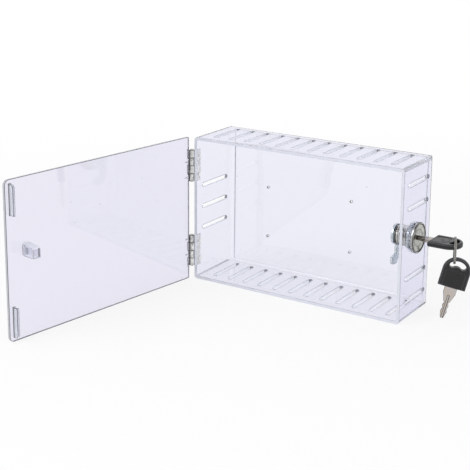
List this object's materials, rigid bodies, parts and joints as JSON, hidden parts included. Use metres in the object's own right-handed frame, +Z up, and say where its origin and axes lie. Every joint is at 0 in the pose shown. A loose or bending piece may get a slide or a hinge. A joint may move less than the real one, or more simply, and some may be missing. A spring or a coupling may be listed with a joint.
{
  "type": "thermostat lock box",
  "caption": "Clear wall box that locks over a thermostat: vented case, hinged door held open, cam lock in the side, key in the lock and spare key on a ring.",
  "frame": {"origin": "middle of the case's back face", "axes": "+Z up, +X to the right seen from the front, the front looks along -Y, the wall is on the +Y side"},
  "size_m": [0.2434, 0.2202, 0.11],
  "materials": {
    "clear_plastic_case": "clear moulded plastic, polished",
    "clear_plastic_door": "clear moulded plastic, polished",
    "clear_plastic_catch": "clear moulded plastic, slightly blue",
    "nickel_hinge": "nickel plated sheet steel",
    "hinge_pin_steel": "bright steel wire",
    "rivet_steel": "nickel plated",
    "chrome_lock": "chrome plated die casting",
    "zinc_steel": "bright zinc plated",
    "spring_steel": "bright",
    "brass_wafer": "stamped brass",
    "nickel_key": "nickel plated",
    "black_plastic": "black moulded plastic, satin",
    "ring_steel": "nickel plated spring wire"
  },
  "bodies": {
    "case_group": {"case": "clear_plastic_case", "upper_case_leaf": "nickel_hinge", "lower_case_leaf": "nickel_hinge", "upper_hinge_pin": "hinge_pin_steel", "lower_hinge_pin": "hinge_pin_steel", "case_leaf_rivets": "rivet_steel", "lock_body": "chrome_lock", "lock_washer": "zinc_steel", "lock_nut": "zinc_steel"},
    "door": {"door_panel": "clear_plastic_door", "catch_block": "clear_plastic_catch", "upper_door_leaf": "nickel_hinge", "lower_door_leaf": "nickel_hinge", "door_leaf_studs": "rivet_steel"},
    "lock_cylinder": {"lock_plug": "chrome_lock", "lock_wafers": "brass_wafer", "wafer_springs": "spring_steel", "stop_washer": "zinc_steel", "cam": "zinc_steel", "cam_spring_washer": "spring_steel", "cam_screw": "zinc_steel"},
    "key": {"key_blade": "nickel_key", "key_bow": "black_plastic"},
    "ring": {"key_ring": "ring_steel"},
    "spare_key": {"spare_key_blade": "nickel_key", "spare_key_bow": "black_plastic"}
  },
  "joints": [
    {"name": "door_swing", "type": "hinge", "parent": "case_group", "child": "door", "pos_m": [-0.08735, -0.0498, 0], "axis": [0, 0, 1], "range_deg": [-81.5, 98.5]},
    {"name": "lock_turn", "type": "hinge", "parent": "case_group", "child": "lock_cylinder", "pos_m": [0.085, -0.0265, 0.0016], "axis": [-1, 0, 0], "range_deg": [0, 90]},
    {"name": "key_pull", "type": "slide", "parent": "lock_cylinder", "child": "key", "axis": [1, 0, 0], "range_m": [0, 0.015]},
    {"name": "ring_swing", "type": "hinge", "parent": "key", "child": "ring", "pos_m": [0.1154, -0.0319, 0.0016], "axis": [-0.9135, -0.4067, 0], "range_deg": [0, 45]},
    {"name": "spare_swing", "type": "hinge", "parent": "ring", "child": "spare_key", "pos_m": [0.11735, -0.03627, -0.00755], "axis": [0.4067, -0.9135, 0], "range_deg": [-30, 40]}
  ]
}
